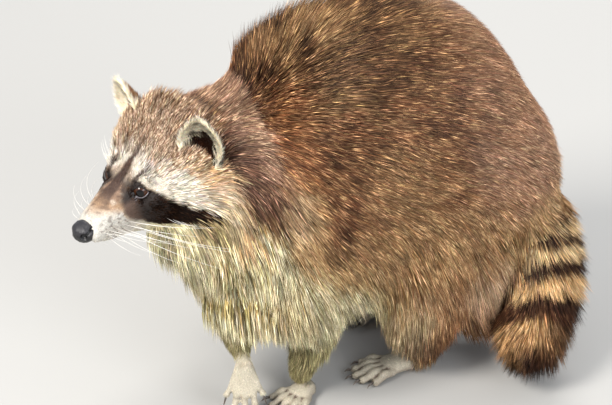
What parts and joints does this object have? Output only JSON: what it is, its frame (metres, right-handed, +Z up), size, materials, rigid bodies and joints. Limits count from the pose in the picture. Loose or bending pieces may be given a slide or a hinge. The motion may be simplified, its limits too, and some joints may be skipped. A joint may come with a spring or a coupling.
{
  "type": "raccoon",
  "caption": "Life-size raccoon standing hunched on all fours with an arched back, its head low and turned a little left, its ringed tail curled forward on the floor.",
  "frame": {"origin": "centre of the footprint of the outline, on the floor under the belly", "axes": "+Z up, the nose towards -Y and the tail towards +Y, the animal's left side towards +X"},
  "size_m": [0.2818, 0.4932, 0.386],
  "materials": {
    "coat": "long coarse fur, brown with buff and near-black banding",
    "underside": "long soft fur, cream with brown gaps",
    "short_hair": "short flat whitish hair",
    "nose": "bare dark pebbled skin, slightly moist",
    "eyes": "polished dark brown",
    "claws": "dark horn, satin",
    "whiskers": "stiff white hair"
  },
  "bodies": {
    "root": {"barrel": "coat", "chest": "underside", "claw_front_left_1": "claws", "claw_front_left_2": "claws", "claw_front_left_3": "claws", "claw_front_left_4": "claws", "claw_front_left_5": "claws", "claw_front_right_1": "claws", "claw_front_right_2": "claws", "claw_front_right_3": "claws", "claw_front_right_4": "claws", "claw_front_right_5": "claws", "claw_hind_left_1": "claws", "claw_hind_left_2": "claws", "claw_hind_left_3": "claws", "claw_hind_left_4": "claws", "claw_hind_left_5": "claws", "claw_hind_right_1": "claws", "claw_hind_right_2": "claws", "claw_hind_right_3": "claws", "claw_hind_right_4": "claws", "claw_hind_right_5": "claws", "ear_left": "coat", "ear_right": "coat", "eye_left": "eyes", "eye_right": "eyes", "foot_front_left": "short_hair", "foot_front_right": "short_hair", "foot_hind_left": "short_hair", "foot_hind_right": "short_hair", "foreleg_left": "short_hair", "foreleg_right": "short_hair", "haunch_left": "coat", "haunch_right": "coat", "head": "coat", "neck": "coat", "nose_pad": "nose", "rump": "coat", "shank_left": "underside", "shank_right": "underside", "shoulder_left": "underside", "shoulder_right": "underside", "tail_base": "coat", "tail_middle": "coat", "tail_tip": "coat"}
  },
  "joints": []
}
